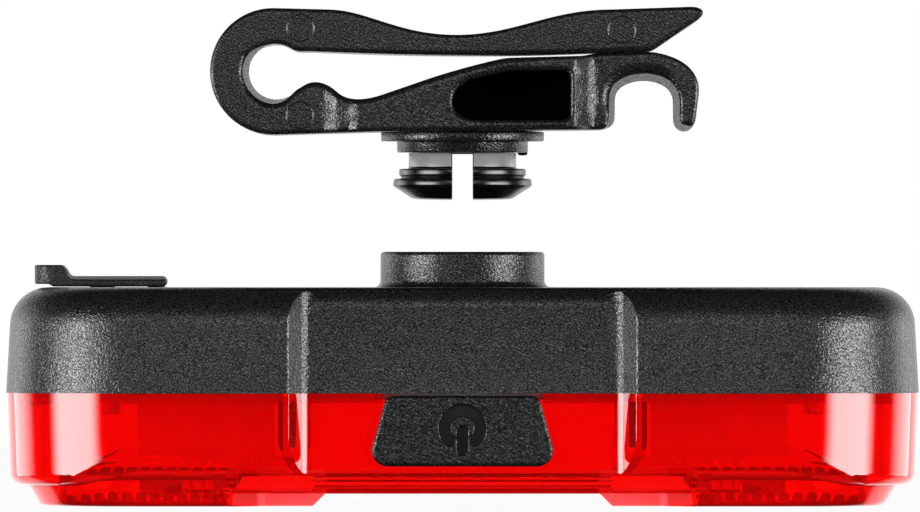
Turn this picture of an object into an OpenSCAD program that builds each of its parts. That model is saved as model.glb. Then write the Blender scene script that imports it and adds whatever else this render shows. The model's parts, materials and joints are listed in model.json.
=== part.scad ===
// Bicycle rear light with a push-in belt clip, lying on its lens with the clip lifted off.
// X runs along the light, Y leads away from the button, Z points from the lens to the rear face.

/* [Body] */
// Length of the housing at the parting line
body_w = 91; // [88:1:104]
// Depth of the housing, from the button side to the far side
body_d = 40; // [39:1:50]
// Plan radius of the housing's corners
corner_r = 14; // [11:0.5:16]
// Height of the parting line above the lens front
parting_z = 11.25; // [11:0.05:12.5]
// Height of the rear face above the lens front
rear_z = 21.75; // [21.5:0.25:25]
// Wall thickness of the housing
wall = 2.2; // [2:0.1:2.6]
// Draft of the housing's sides in degrees
housing_draft = 3.2; // [1:0.2:5]
// Radius of the housing's rear edge
rear_edge_r = 3.8; // [2.4:0.2:4.4]
// Clearance between pieces that slide, turn or drop into each other
clearance = 0.15; // [0.1:0.05:0.25]

/* [Waist] */
// Half length of the flat floor of the waist
waist_half = 15.55; // [12:0.05:17]
// Length of the slope at each end of the waist
waist_slope = 1.75; // [1:0.05:2.5]
// Depth of the waist
waist_depth = 2.1; // [1.6:0.1:2.2]
// Rounding where the waist's slopes meet the long sides
waist_outer_r = 0.55; // [0.4:0.05:0.8]
// Rounding where the waist's slopes meet its floor
waist_inner_r = 1.7; // [1:0.1:2]

/* [Lens] */
// Step from the housing's side in to the lens's side
lens_step = 0.1; // [0:0.05:0.3]
// Draft of the lens's sides in degrees
lens_draft = 2.2; // [1:0.2:4]
// Wall thickness of the lens
lens_wall = 2; // [1.6:0.1:2.4]
// Thickness of the lens's front
lens_floor = 1.7; // [1.5:0.1:2]
// Height of the rim at the lens's ends
rim_z = 2.1; // [1.6:0.1:2.6]
// Fillet under the lens's ends
rim_r = 1.2; // [0.6:0.1:1.6]
// Lowest height of the front between the plateaus
middle_z = 1.3; // [0.9:0.1:1.5]
// Half length of the front between the plateaus
middle_half = 27.5; // [24:0.5:30]
// Rounding under the long sides
side_r = 5.3; // [5:0.1:5.5]
// Height where that rounding starts
side_z = 7.35; // [7.2:0.05:7.5]
// Height of the ledge under the long sides, between the plateaus
ledge_z = 3.3; // [3.1:0.05:3.4]
// Width of that ledge
ledge_w = 0.8; // [0.7:0.05:1]
// Depth of the two grooves under the ledge
groove_depth = 0.25; // [0.1:0.05:0.3]
// Height of the seal in the lens's rim
seal_h = 0.85; // [0.6:0.05:1]
// Width of the seal
seal_w = 0.9; // [0.7:0.05:1]
// Wall left between the seal and the inside of the lens
seal_lip = 0.1; // [0.05:0.05:0.2]

/* [Locating tongues] */
// Lowest height of the tongues that locate the lens
tongue_z = 5.9; // [5.5:0.1:7]
// Thickness of a tongue
tongue_t = 0.7; // [0.6:0.1:1]
// Width of a tongue
tongue_w = 1.6; // [1.2:0.1:2]
// Distance of a tongue from the end of the waist
tongue_gap = 0.05; // [0:0.05:0.4]

/* [Reflector plateaus] */
// Inset of the plateau from the lens's outline, at the height of the rim
plateau_inset = 2.1; // [1.8:0.1:2.4]
// More inset of the plateau along the long sides
plateau_trim = 0.5; // [0.4:0.05:0.7]
// Slope of the plateau's outer sides from upright, in degrees
plateau_slope = 31; // [28:1:36]
// Edge rounding of the plateau's face
plateau_edge = 0.8; // [0.4:0.1:1.2]
// Distance of the plateau's shoulder from the middle
shoulder_x = 25; // [23:0.5:28]
// Distance of the neck's root from the middle
neck_root_x = 19.6; // [18:0.2:22]
// Distance of the neck's tip from the middle
neck_tip_x = 14.9; // [12:0.1:17]
// Half width of the neck's face
neck_half = 10; // [7:0.5:12]
// Slope of the plateau's inner sides from upright, in degrees
inner_slope = 45; // [20:1:50]
// Thickness of the window in front of the prisms
window_t = 0.6; // [0.4:0.1:1]
// Thickness of a prism plate under its prisms
plate_t = 0.5; // [0.4:0.1:0.8]
// Pitch of the prisms
prism_pitch = 1.33; // [1.2:0.01:2.6]
// Height of the prisms
prism_h = 0.8; // [0.4:0.05:1]

/* [Clip boss] */
// Radius of the boss
boss_r = 8.2; // [8:0.1:9]
// Height of the boss above the rear face
boss_h = 3.55; // [3:0.05:5]
// Rounding of the boss's top edge
boss_edge = 0.4; // [0.2:0.05:0.6]
// Flare at the boss's foot
boss_flare = 0.7; // [0.4:0.1:1]
// Radius of the neck that the stud snaps through
neck_r = 6.1; // [6:0.05:6.3]
// Depth of the seat above the neck
seat_depth = 1.6; // [1.5:0.05:1.8]
// Thickness of the neck's ledge
ledge_t = 1; // [0.8:0.05:1.05]
// Wall of the cup under the boss
cup_wall = 1.1; // [0.9:0.1:1.4]

/* [Button] */
// Half length of the button's upper edge
button_top = 7.8; // [6.5:0.1:9]
// Half length of the button's lower edge
button_bottom = 9; // [8:0.05:11]
// Height of the button
button_h = 7; // [6:0.1:7.4]
// Gap between the housing and the button
button_gap = 0.25; // [0.2:0.05:0.5]
// Stand of the button's face over the waist's floor
button_proud = 0.5; // [0.2:0.1:0.8]
// Travel of the button
button_travel = 0.6; // [0.3:0.1:0.7]
// Mid radius of the power symbol's ring
symbol_r = 1.75; // [1.2:0.05:2]
// Stroke of the power symbol
symbol_stroke = 1.1; // [0.6:0.05:1.1]
// Depth of the power symbol
symbol_depth = 0.3; // [0.15:0.05:0.5]

/* [Charging flap] */
// Distance of the flap's hinge from the end of the light
flap_inset = 13.65; // [13:0.05:14.7]
// Length of the flap's plate from its hinge
flap_len = 8.95; // [8.5:0.05:9.4]
// Width of the flap
flap_w = 11; // [10:0.5:13]
// Thickness of the flap's plate
flap_t = 1.1; // [0.8:0.1:1.5]
// Length of the pull tab
tab_len = 2.7; // [2:0.1:3.2]
// Overhang of the pull tab past the plate
tab_over = 1.9; // [1:0.1:2.4]
// Height of the pull tab over the rear face
tab_h = 2.2; // [1.8:0.1:3]
// Length of the anchor's head
anchor_len = 2.2; // [1.8:0.1:3]
// Radius of the anchor's stem
anchor_r = 1.2; // [0.9:0.1:1.4]
// Length of the barb under the anchor's stem
anchor_barb = 0.9; // [0.6:0.1:1]
// Depth of the flap's plug in the socket's well
plug_depth = 0.9; // [0.6:0.1:1]

/* [Electronics] */
// Height of the circuit board's lower face over the optics
cup_h = 5.6; // [5:0.1:6]
// Height of the optic strips' lower face
optic_z = 4; // [3.9:0.05:4.4]
// Thickness of the optic strips
optic_t = 1; // [0.8:0.1:1.2]
// Length of an optic strip
optic_len = 10.7; // [8:0.1:11]
// Distance from the optic strip's inner end to the light cup's middle
optic_offset = 8.3; // [7.5:0.1:8.5]
// Pitch of the optic's ribs
rib_pitch = 1.26; // [1:0.02:1.8]
// Radius of the optic's ribs
rib_r = 0.48; // [0.3:0.02:0.5]
// Thickness of the circuit board
board_t = 1.2; // [1:0.1:1.6]
// Gap between the circuit board's long sides and the lens's wall
board_gap = 2; // [1.6:0.1:2.6]
// Gap between the circuit board's ends and the lens's wall
board_end_gap = 3.4; // [2.4:0.1:4]
// Plan radius of the circuit board's corners
board_r = 5; // [2:0.5:6]
// Length of a light cup
cup_len = 13.4; // [11:0.1:14]
// Distance of a light cup's middle from the end of the light
cup_inset = 19.9; // [18.5:0.1:20.5]
// Width of a light cup
cup_w = 20; // [18:0.5:22]
// Radius of the hole round a light-emitting diode
cup_throat_r = 2.4; // [2.2:0.1:2.8]
// Wall between the bowls of a light cup
cup_web = 0.6; // [0.4:0.1:1]
// Side of a light-emitting diode
led_size = 3; // [2.6:0.1:3.2]
// Height of a light-emitting diode's base
led_h = 0.7; // [0.5:0.1:1]
// Radius of a light-emitting diode's dome
dome_r = 1.1; // [0.8:0.1:1.3]
// Distance of the board's screws from the ends of the light
screw_inset = 9.5; // [8.5:0.1:9.9]
// Distance of the board's screws from the middle, across the light
screw_y = 10.5; // [9.5:0.1:11]
// Radius of the board's screws
screw_r = 1; // [0.8:0.05:1.1]
// Length of the board's screws in their posts
screw_len = 4; // [3:0.1:5]
// Radius of the screw posts
post_r = 2.4; // [2.2:0.1:3]
// Length of the battery
battery_len = 46; // [40:1:48]
// Width of the battery
battery_w = 24; // [20:1:25]
// Thickness of the battery
battery_t = 4.8; // [4:0.1:4.9]
// Thickness of the battery's foam pad
pad_t = 0.6; // [0.4:0.1:0.7]
// Distance of the charging socket from the end of the light
socket_inset = 9.5; // [9:0.1:10]
// Width of the charging socket's shell
socket_w = 7.8; // [7.4:0.1:8.2]
// Thickness of the charging socket's shell
socket_d = 3; // [2.8:0.1:3.2]
// Depth of the charging socket's mouth below the rear face
socket_sink = 1.2; // [1.1:0.1:1.6]
// Width of the switch
switch_w = 6.2; // [5:0.1:7]
// Depth of the switch
switch_d = 3.8; // [3:0.1:4.5]
// Radius of the switch's plunger
plunger_r = 1.6; // [1:0.1:1.8]

/* [Clip] */
// Lift of the clip off its seat on the boss
clip_lift = 11; // [8:0.5:16]
// Radius of the loop's outside
loop_r = 6.32; // [6.1:0.02:6.6]
// Radius of the loop's hole
loop_hole_r = 2.9; // [2.6:0.05:3]
// Distance of the loop's middle from the stud's axis
loop_x = 18.85; // [18.5:0.05:19.5]
// Height of the loop's middle over the boss
loop_z = 6.96; // [6.8:0.02:7.1]
// Width of the loop and the arm
arm_w = 17; // [14:0.5:18]
// Width of the clip's base
base_w = 20; // [19:0.5:24]
// Width of the hook
hook_w = 15; // [12:0.5:16]
// Height of the arm's top at both ends
arm_crest = 13.13; // [12.8:0.01:13.4]
// Height of the arm's top in its dip
arm_dip = 10.6; // [10.2:0.1:11]
// Height of the arm's lower face
arm_low = 8.48; // [8.4:0.01:8.5]
// Reach of the arm's tip from the stud's axis
arm_reach = 23.75; // [23.5:0.05:25]
// Height of the base's pad under the arm
pad_z = 8.52; // [8.5:0.01:8.6]
// Height of the base's ramp where the strap lies
ramp_z = 4.7; // [4.5:0.1:5]
// Distance of the hook's inside from the stud's axis
hook_x = 15.23; // [15:0.01:15.4]
// Width of the hook's inside
hook_gap = 5.8; // [5:0.1:6]
// Height of the hook's inside
hook_z = 6.08; // [5.8:0.02:6.2]
// Radius of the hook's tip
hook_tip_r = 1.1; // [0.9:0.05:1.2]
// Depth of the cored pockets in the base's sides
pocket_depth = 8; // [5:0.5:8.5]
// Gap between the arm and the base
jaw_gap = 0.15; // [0.1:0.05:0.3]

/* [Snap stud] */
// Radius of the flange that rests on the boss
flange_r = 8.15; // [8:0.05:9]
// Thickness of that flange
flange_t = 0.96; // [0.8:0.02:1.2]
// Radius of the flange that centres the clip in the boss
pilot_r = 6.55; // [6.4:0.05:6.7]
// Depth of the centring flange
pilot_t = 1.09; // [0.9:0.01:1.2]
// Radius of the stud's legs
leg_r = 5.38; // [5:0.02:5.6]
// Length of the stud's legs
leg_len = 1.62; // [1.55:0.01:1.7]
// Radius of the lip on the stud's head
lip_r = 7; // [6.6:0.05:7.1]
// Thickness of the lip
lip_t = 0.6; // [0.4:0.05:0.8]
// Height of the ring over the lip
ring_h = 0.93; // [0.8:0.01:1]
// Length of the head below the ring
head_len = 2.15; // [1.8:0.05:2.4]
// Radius of the ring over the lip
ring_r = 6.37; // [6.2:0.01:6.5]
// Radius of the head's end
tip_r = 5.55; // [5:0.05:5.8]
// Width of the slot that splits the stud
slot_w = 2.04; // [1.8:0.02:2.2]
// Radius of the pivot inside the clip's base
pivot_r = 4; // [3:0.1:4.4]

/* [Hidden] */
$fn = 64;

black = "#2a2b2d";
red = "#e00000";
rubber = "#1d1e20";
silver = "#c8c9cc";
white = "#f2f0ea";
overcut = 1;
chamfer = 0.3;

lens_inset = lens_step + lens_wall;
lens_half_d = body_d / 2 - lens_step;
roof_z = rear_z - wall;
boss_z = rear_z + boss_h;
optic_top = optic_z + optic_t;
board_z = optic_top + cup_h;
board_top = board_z + board_t;
battery_z = board_top + pad_t;
side_y = lens_half_d - (parting_z - side_z) * tan(lens_draft) - side_r;
bar_half = side_y + sqrt(pow(side_r, 2) - pow(side_z - ledge_z, 2)) - ledge_w;
cavity_r = 0.87 * side_r;
cavity_y = body_d / 2 - lens_inset - cavity_r + clearance;
cavity_z = middle_z + lens_floor + cavity_r;
waist_angle = atan(waist_depth / waist_slope);
waist_floor_y = -body_d / 2 + waist_depth;
waist_inner_y = waist_floor_y + lens_inset;
plateau_top = side_z - side_r * sin(plateau_slope);
plateau_step = lens_step + plateau_inset + rim_z * tan(plateau_slope);
plate_edge = 1.8;
plate_inset = plateau_step + plate_edge;
prism_tip = window_t + plate_t + prism_h;

flap_hinge_x = body_w / 2 - flap_inset;
cup_x = body_w / 2 - cup_inset;
optic_x = cup_x - optic_offset;
screw_x = body_w / 2 - screw_inset;
socket_x = body_w / 2 - socket_inset;
screw_head_r = 1.9 * screw_r;
screw_head_h = 1.3 * screw_r;
chip_side = 5;
chip_gap = 1.8;
socket_gap = 0.5;
socket_wall = 0.35;
terrace_len = 3;
terrace_t = 1;
terrace_z = battery_z + battery_t / 2;
lead_t = 0.25;
lead_w = 4;
lead_reach = 1.2;
lead_x = battery_len / 2 + terrace_len;
chip_x = lead_x + lead_reach + chip_gap + chip_side / 2;

head_depth = pilot_t + leg_len;
lip_depth = head_depth + ring_h;
stud_depth = lip_depth + head_len;
chamber_r = lip_r + 2 * clearance;
chamber_depth = stud_depth + 4 * clearance;
pivot_h = 1.5;
clip_z = boss_z + clip_lift;

button_z = parting_z - button_gap;
button_face_y = waist_floor_y - button_proud;
button_flange = 0.8;
button_rim = 0.35;
plunger_seat = 1;
button_end_y = waist_inner_y + clearance + button_flange;
switch_z = button_z - button_h / 2;
switch_y = waist_inner_y + board_gap;
flap_z = rear_z + 0.1;

function arc(c, r, from, to, n = 24) = [for (i = [0:n])
    let (a = from + (to - from) * i / n) c + r * [cos(a), sin(a)]];

function curve(a, b, c, d, n = 14) = [for (i = [0:n]) let (t = i / n, u = 1 - t)
    u * u * u * a + 3 * u * u * t * b + 3 * u * t * t * c + t * t * t * d];

// Quarter round from a to b, by way of a corner.
function quarter(a, corner, b, n = 8) = curve(a, a + 0.55 * (corner - a), b + 0.55 * (corner - b), b, n);

// Wave from a to b that starts and ends level, with handles as shares of its length.
function wave(a, b, s, e) = curve(a, [a.x + s * (b.x - a.x), a.y], [b.x - e * (b.x - a.x), b.y], b);

module both_x() {
    children();
    mirror([1, 0, 0]) children();
}

module both_y() {
    children();
    mirror([0, 1, 0]) children();
}

module rounded_rect(w, d, r) {
    square([w - 2 * r, d], center = true);
    square([w, d - 2 * r], center = true);
    for (x = [-1, 1], y = [-1, 1])
        translate([x * (w / 2 - r), y * (d / 2 - r)]) circle(r = r);
}

module block(x, y, z0, z1, w, d) {
    translate([x - w / 2, y - d / 2, z0]) cube([w, d, z1 - z0]);
}

// Waist notch in plan, with its side's line at y = 0, for a wall set in by inset.
module waist_notch(inset) {
    run = waist_slope / waist_depth;
    inner = waist_half + inset * tan(waist_angle / 2);
    outer = inner + (waist_depth + overcut) * run;
    polygon([[-inner, waist_depth], [inner, waist_depth], [outer, -overcut], [-outer, -overcut]]);
}

// Corner between two tangent points, past a circle, grown from the circle's middle.
module corner_scrap(middle, r, points) {
    grow = 1.6;
    difference() {
        polygon(concat([middle], [for (p = points) middle + grow * (p - middle)]));
        translate(middle) circle(r = r);
    }
}

// The notch with both ends of its slopes rounded; the circles cross their lines a little.
module soft_notch() {
    lift = [0, chamfer / 30];
    bend = tan(waist_angle / 2);
    slope = bend * [cos(waist_angle), -sin(waist_angle)];
    inner = [waist_half, waist_depth];
    outer = [waist_half + waist_slope, 0];
    difference() {
        waist_notch(0);
        both_x() corner_scrap(inner - waist_inner_r * [bend, 1] + lift, waist_inner_r,
            [inner - waist_inner_r * [bend, 0], inner, inner + waist_inner_r * slope]);
    }
    both_x() corner_scrap(outer + waist_outer_r * [bend, 1] - lift, waist_outer_r,
        [outer - waist_outer_r * slope, outer, outer + waist_outer_r * [bend, 0]]);
}

// Outline of the light in plan, set in all round.
module plan(inset) {
    difference() {
        rounded_rect(body_w - 2 * inset, body_d - 2 * inset, corner_r - inset);
        both_y() translate([0, -body_d / 2 + inset]) waist_notch(inset);
    }
}

// Half section of a drafted side, from the corner's axis out to the side and round to the face.
module edge_profile(r, z_open, z_face, draft, fillet) {
    up = z_face > z_open ? 1 : -1;
    cz = z_face - up * fillet;
    cx = r - (fillet + abs(cz - z_open) * sin(draft)) / cos(draft);
    tangent = [cx, cz] + fillet * [cos(draft), up * sin(draft)];
    polygon([[0, z_open], [r, z_open], tangent, [cx, cz], [cx, z_face], [0, z_face]]);
    translate([cx, cz]) circle(r = fillet);
}

// Block with the half section carried round its four corners and sides; trim narrows it across the light.
module swept_block(inset, z_open, z_face, draft, fillet, trim = 0) {
    r = corner_r - inset;
    x = body_w / 2 - corner_r;
    y = body_d / 2 - corner_r - trim;
    low = min(z_open, z_face);
    rotate([90, 0, 90]) linear_extrude(2 * x, center = true) {
        both_x() translate([y, 0]) edge_profile(r, z_open, z_face, draft, fillet);
        translate([-y, low]) square([2 * y, abs(z_face - z_open)]);
    }
    both_x() translate([x, 0, 0]) rotate([90, 0, 0])
        linear_extrude(2 * y, center = true) edge_profile(r, z_open, z_face, draft, fillet);
    both_x() both_y() translate([x, y, 0])
        rotate_extrude(angle = 90) edge_profile(r, z_open, z_face, draft, fillet);
}

// The waist's cutters lean with the draft of the side that they cut.
module waist_cut(lean, z0, z1) {
    both_y() translate([0, -body_d / 2, parting_z]) rotate([lean, 0, 0])
        translate([0, 0, z0]) linear_extrude(z1 - z0) soft_notch();
}

module boss_profile() {
    square([boss_r, boss_h - boss_edge]);
    square([boss_r - boss_edge, boss_h]);
    translate([boss_r - boss_edge, boss_h - boss_edge]) circle(r = boss_edge);
    translate([boss_r, 0]) difference() {
        square(boss_flare);
        translate([boss_flare, boss_flare]) circle(r = boss_flare);
    }
}

// Seat, snap neck and closed chamber for the clip's stud, measured down from the boss.
module stud_socket() {
    chamber = seat_depth + ledge_t;
    translate([0, 0, boss_z]) {
        translate([0, 0, -seat_depth]) cylinder(r = pilot_r + clearance, h = seat_depth + overcut);
        translate([0, 0, -chamber - 0.01]) cylinder(r = neck_r, h = chamber);
        translate([0, 0, -chamber_depth]) cylinder(r = chamber_r, h = chamber_depth - chamber);
    }
}

module screw_places() {
    both_x() both_y() translate([screw_x, screw_y, 0]) children();
}

module flap_well() {
    block(-socket_x, 0, roof_z - overcut, rear_z + overcut,
        socket_d + 2 * socket_gap, socket_w + 2 * socket_gap);
}

// Tongues beside the waist's ends that locate the lens, hung from the inside of the housing's wall.
module locating_tongues() {
    tongue_x = waist_half + waist_slope + tongue_gap;
    slope_x = waist_half + lens_inset * tan(waist_angle / 2);
    tongue_y = waist_inner_y - (tongue_x - slope_x) * waist_depth / waist_slope + 2 * clearance;
    root_z = parting_z + tongue_t;
    both_x() both_y() {
        translate([tongue_x, tongue_y, tongue_z]) cube([tongue_t, tongue_w, roof_z - tongue_z]);
        translate([tongue_x, tongue_y - tongue_w / 2, root_z]) cube([tongue_t, tongue_w, roof_z - root_z]);
    }
}

module rear_housing() {
    color(black) difference() {
        union() {
            difference() {
                swept_block(0, parting_z, rear_z, housing_draft, rear_edge_r);
                waist_cut(-housing_draft, -overcut, rear_z);
                translate([0, 0, parting_z - overcut])
                    linear_extrude(roof_z - parting_z + overcut) plan(wall);
            }
            translate([0, 0, rear_z]) rotate_extrude() boss_profile();
            translate([0, 0, boss_z - chamber_depth - cup_wall])
                cylinder(r = chamber_r + cup_wall, h = chamber_depth + cup_wall - boss_h - wall / 2);
            screw_places() translate([0, 0, board_top])
                cylinder(r = post_r, h = rear_z - wall / 2 - board_top);
            locating_tongues();
        }
        stud_socket();
        flap_well();
        translate([-flap_hinge_x + anchor_len / 2, 0, roof_z - overcut])
            cylinder(r = anchor_r + clearance, h = wall + 2 * overcut);
        screw_places() translate([0, 0, board_top - overcut])
            cylinder(r = screw_r + clearance / 3, h = screw_len + 0.5 + overcut);
    }
}

// Section of the lens across the light, with both sides rounded under.
module lens_section() {
    translate([-body_d / 2, side_z]) square([body_d, parting_z - side_z]);
    both_x() translate([side_y, side_z]) circle(r = side_r);
    translate([-side_y, side_z - side_r]) square([2 * side_y, side_r]);
}

// Section of the front between the plateaus: a flat bar with bevelled edges.
module bar_section() {
    top = ledge_z + lens_floor / 2;
    polygon([[-bar_half, top], [-bar_half, middle_z + chamfer], [-bar_half + chamfer, middle_z],
        [bar_half - chamfer, middle_z], [bar_half, middle_z + chamfer], [bar_half, top]]);
}

// Two grooves along both sides of that bar.
module groove_section() {
    pitch = (ledge_z - middle_z) / 2;
    half = 0.7 * groove_depth;
    both_x() for (i = [0, 1])
        translate([bar_half, middle_z + (i + 0.35) * pitch])
            polygon([[-groove_depth, 0], [groove_depth, -2 * half], [groove_depth, 2 * half]]);
}

module along_x(len) {
    rotate([90, 0, 90]) linear_extrude(len, center = true) children();
}

// Removes what lies past a slanted side that crosses z = 0 at a point, facing the way of az.
module slant_cut(x, y, az, slope) {
    size = 60;
    translate([x, y, 0]) rotate([0, 0, az]) rotate([0, -slope, 0])
        translate([-size, -size / 2, -size / 2]) cube(size);
}

module plateau() {
    diagonal = atan2(body_d / 2 - neck_half, shoulder_x - neck_root_x);
    difference() {
        swept_block(plateau_step - plateau_top * tan(plateau_slope), plateau_top, 0, plateau_slope,
            plateau_edge, plateau_trim);
        both_y() slant_cut(neck_root_x, -neck_half, 90 - diagonal, inner_slope / 2);
        slant_cut(neck_root_x, 0, 0, 0);
    }
    difference() {
        along_x(2 * (shoulder_x + 1)) polygon([[-neck_half, 0], [neck_half, 0],
            [neck_half + middle_z * tan(inner_slope), 2 * middle_z],
            [-neck_half - middle_z * tan(inner_slope), 2 * middle_z]]);
        slant_cut(neck_tip_x, 0, 0, inner_slope);
    }
}

module lens_shell() {
    difference() {
        intersection() {
            swept_block(lens_step, parting_z, rim_z, lens_draft, rim_r);
            along_x(body_w) lens_section();
        }
        block(0, 0, 0, ledge_z, 2 * middle_half, body_d);
    }
    difference() {
        along_x(2 * middle_half) bar_section();
        along_x(2 * neck_tip_x) groove_section();
    }
    both_x() plateau();
}

// Space over the front's inner face, rounded up to the sides and kept clear of it by a gap.
module over_front(gap) {
    along_x(body_w) {
        translate([-body_d / 2, cavity_z]) square([body_d, rear_z]);
        both_x() translate([cavity_y, cavity_z]) circle(r = cavity_r - gap);
        translate([-cavity_y, cavity_z - cavity_r + gap]) square([2 * cavity_y, cavity_r]);
    }
}

module lens_cavity() {
    intersection() {
        translate([0, 0, middle_z]) linear_extrude(parting_z) plan(lens_inset);
        over_front(0);
    }
}

// Outline of the prism plate, inside the plateau's walls.
module plate_outline(gap) {
    inset = plate_inset + gap;
    side = body_d / 2;
    inner = shoulder_x - plate_edge + gap;
    outer = shoulder_x + plate_edge + gap;
    intersection() {
        rounded_rect(body_w - 2 * inset, body_d - 2 * inset - 2 * plateau_trim, corner_r - inset);
        polygon([[inner, -neck_half + gap], [outer, -side], [body_w, -side],
            [body_w, side], [outer, side], [inner, neck_half - gap]]);
    }
}

// Upright section through the button: rounded trapezoid, grown all round.
module button_outline(grow) {
    top_r = 1;
    low_r = 1.6;
    hull() both_x() {
        translate([button_top - top_r, button_z - top_r]) circle(r = top_r + grow, $fn = 32);
        translate([button_bottom - low_r, button_z - button_h + low_r]) circle(r = low_r + grow, $fn = 32);
    }
}

// Extrudes an upright outline from y0 to y1.
module across(y0, y1) {
    translate([0, y1, 0]) rotate([90, 0, 0]) linear_extrude(y1 - y0) children();
}

module lens() {
    color(red, 0.6) difference() {
        lens_shell();
        waist_cut(lens_draft, -parting_z, overcut);
        lens_cavity();
        both_x() translate([0, 0, window_t]) linear_extrude(parting_z) plate_outline(0);
        translate([0, 0, parting_z - seal_h]) linear_extrude(seal_h + overcut) difference() {
            plan(lens_inset - seal_w - seal_lip - clearance);
            plan(lens_inset + overcut);
        }
        across(-body_d / 2 - overcut, button_end_y + button_travel + clearance) {
            button_outline(clearance);
            translate([-button_top - clearance, switch_z])
                square([2 * (button_top + clearance), button_h / 2 + button_gap + overcut]);
        }
    }
}

module lens_gasket() {
    color(red) difference() {
        translate([0, 0, parting_z - seal_h]) linear_extrude(seal_h) difference() {
            plan(lens_inset - seal_w - seal_lip);
            plan(lens_inset - seal_lip);
        }
        translate([-button_bottom, -body_d / 2, 0]) cube([2 * button_bottom, body_d / 2, body_d]);
    }
}

// Sheet whose upper face is a row of ridges along its depth.
module ridge_sheet(half) {
    count = ceil(half / prism_pitch);
    top = prism_tip;
    low = prism_tip - prism_h;
    polygon(concat([[-count * prism_pitch, 0]],
        [for (i = [-count:count - 1], k = [0, 1]) [(i + k / 2) * prism_pitch, k == 0 ? low : top]],
        [[count * prism_pitch, low], [count * prism_pitch, 0]]));
}

// Plate whose inner face is a field of prisms, made by two crossing rows of ridges.
module prism_plate() {
    half = body_w / 4;
    color(red) intersection() {
        translate([0, 0, window_t]) linear_extrude(parting_z) plate_outline(clearance);
        translate([half + neck_root_x / 2, 0, 0]) rotate([90, 0, 0])
            linear_extrude(body_d, center = true) ridge_sheet(half);
        along_x(2 * body_w) ridge_sheet(body_d / 2);
    }
}

module left_reflector() {
    mirror([1, 0, 0]) prism_plate();
}

module right_reflector() {
    prism_plate();
}

module led_cup() {
    color(silver) difference() {
        block(cup_x, 0, optic_top, board_z, cup_len, cup_w);
        both_y() translate([cup_x, cup_w / 4, optic_top]) {
            translate([0, 0, -0.01])
                cylinder(r1 = cup_w / 4 - cup_web, r2 = cup_throat_r, h = cup_h - led_h);
            cylinder(r = cup_throat_r, h = cup_h + overcut);
        }
    }
}

module left_led_cup() {
    mirror([1, 0, 0]) led_cup();
}

module right_led_cup() {
    led_cup();
}

// Strip with half-round ribs across it, on its lower face.
module optic() {
    ribs = floor(optic_len / rib_pitch);
    color("#ff5040", 0.7) rotate([90, 0, 0]) linear_extrude(cup_w, center = true) {
        translate([optic_x, optic_z + rib_r]) square([optic_len, optic_t - rib_r]);
        for (i = [0:ribs - 1])
            translate([optic_x + optic_len / 2 + (i - (ribs - 1) / 2) * rib_pitch, optic_z + rib_r])
                circle(r = rib_r);
    }
}

module left_optic() {
    mirror([1, 0, 0]) optic();
}

module right_optic() {
    optic();
}

module leds() {
    color("#f6e9a8") both_x() both_y() translate([cup_x, cup_w / 4, board_z]) {
        block(0, 0, -led_h, 0, led_size, led_size);
        translate([0, 0, -1.5 * led_h]) cylinder(r = dome_r, h = led_h);
    }
}

module circuit_board() {
    length = body_w - 2 * (lens_inset + board_end_gap);
    depth = -2 * (waist_inner_y + board_gap);
    color("#e4e5e0") translate([0, 0, board_z]) linear_extrude(board_t) difference() {
        rounded_rect(length, depth, board_r);
        screw_places() circle(r = screw_r + clearance);
    }
}

module board_screws() {
    color(silver) screw_places() difference() {
        union() {
            translate([0, 0, board_z]) cylinder(r = screw_r, h = board_t + screw_len);
            translate([0, 0, board_z - screw_head_h])
                cylinder(r1 = 0.8 * screw_head_r, r2 = screw_head_r, h = screw_head_h);
        }
        translate([0, 0, board_z - screw_head_h - 0.01])
            cylinder(r = 0.8 * screw_r, h = screw_head_h / 2, $fn = 6);
    }
}

module control_chip() {
    color(black) block(chip_x, -screw_y / 2, board_top, board_top + chip_side / 5, chip_side, chip_side);
}

module power_coil() {
    coil_r = 2.4;
    coil_h = 2.2;
    rim = 0.5;
    color("#3c3c40") translate([chip_x, screw_y / 2, board_top]) {
        cylinder(r = coil_r, h = rim);
        cylinder(r = 0.7 * coil_r, h = coil_h);
        translate([0, 0, coil_h - rim]) cylinder(r = coil_r, h = rim);
    }
}

// Pouch cell with the sealed ledge that its leads come out of.
module battery() {
    pouch_r = 1.5;
    color(silver) {
        translate([0, 0, battery_z]) linear_extrude(battery_t) rounded_rect(battery_len, battery_w, pouch_r);
        block(battery_len / 2, 0, terrace_z - terrace_t / 2, terrace_z + terrace_t / 2,
            2 * terrace_len, battery_w - 2 * pouch_r);
    }
}

module battery_pad() {
    margin = 2;
    color("#33343a") translate([0, 0, board_top])
        linear_extrude(pad_t) rounded_rect(battery_len - 2 * margin, battery_w - 2 * margin, margin / 2);
}

// Leads from the ledge down to the circuit board.
module battery_tabs() {
    color(silver) both_y() translate([lead_x, battery_w / 4, 0]) {
        block(lead_reach / 2, 0, terrace_z - lead_t / 2, terrace_z + lead_t / 2, lead_reach, lead_w);
        block(lead_reach - lead_t / 2, 0, board_top, terrace_z, lead_t, lead_w);
    }
}

// Upright charging socket: a steel shell round a contact tongue.
module usb_socket() {
    top = rear_z - socket_sink;
    depth = 5.5;
    tongue = 0.7;
    color(silver) translate([-socket_x, 0, 0]) {
        difference() {
            block(0, 0, board_top, top, socket_d, socket_w);
            block(0, 0, top - depth, top + overcut,
                socket_d - 2 * socket_wall, socket_w - 2 * socket_wall);
        }
        block(tongue / 2, 0, top - depth - socket_wall, top - tongue, tongue, socket_w - 4 * tongue);
    }
}

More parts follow.
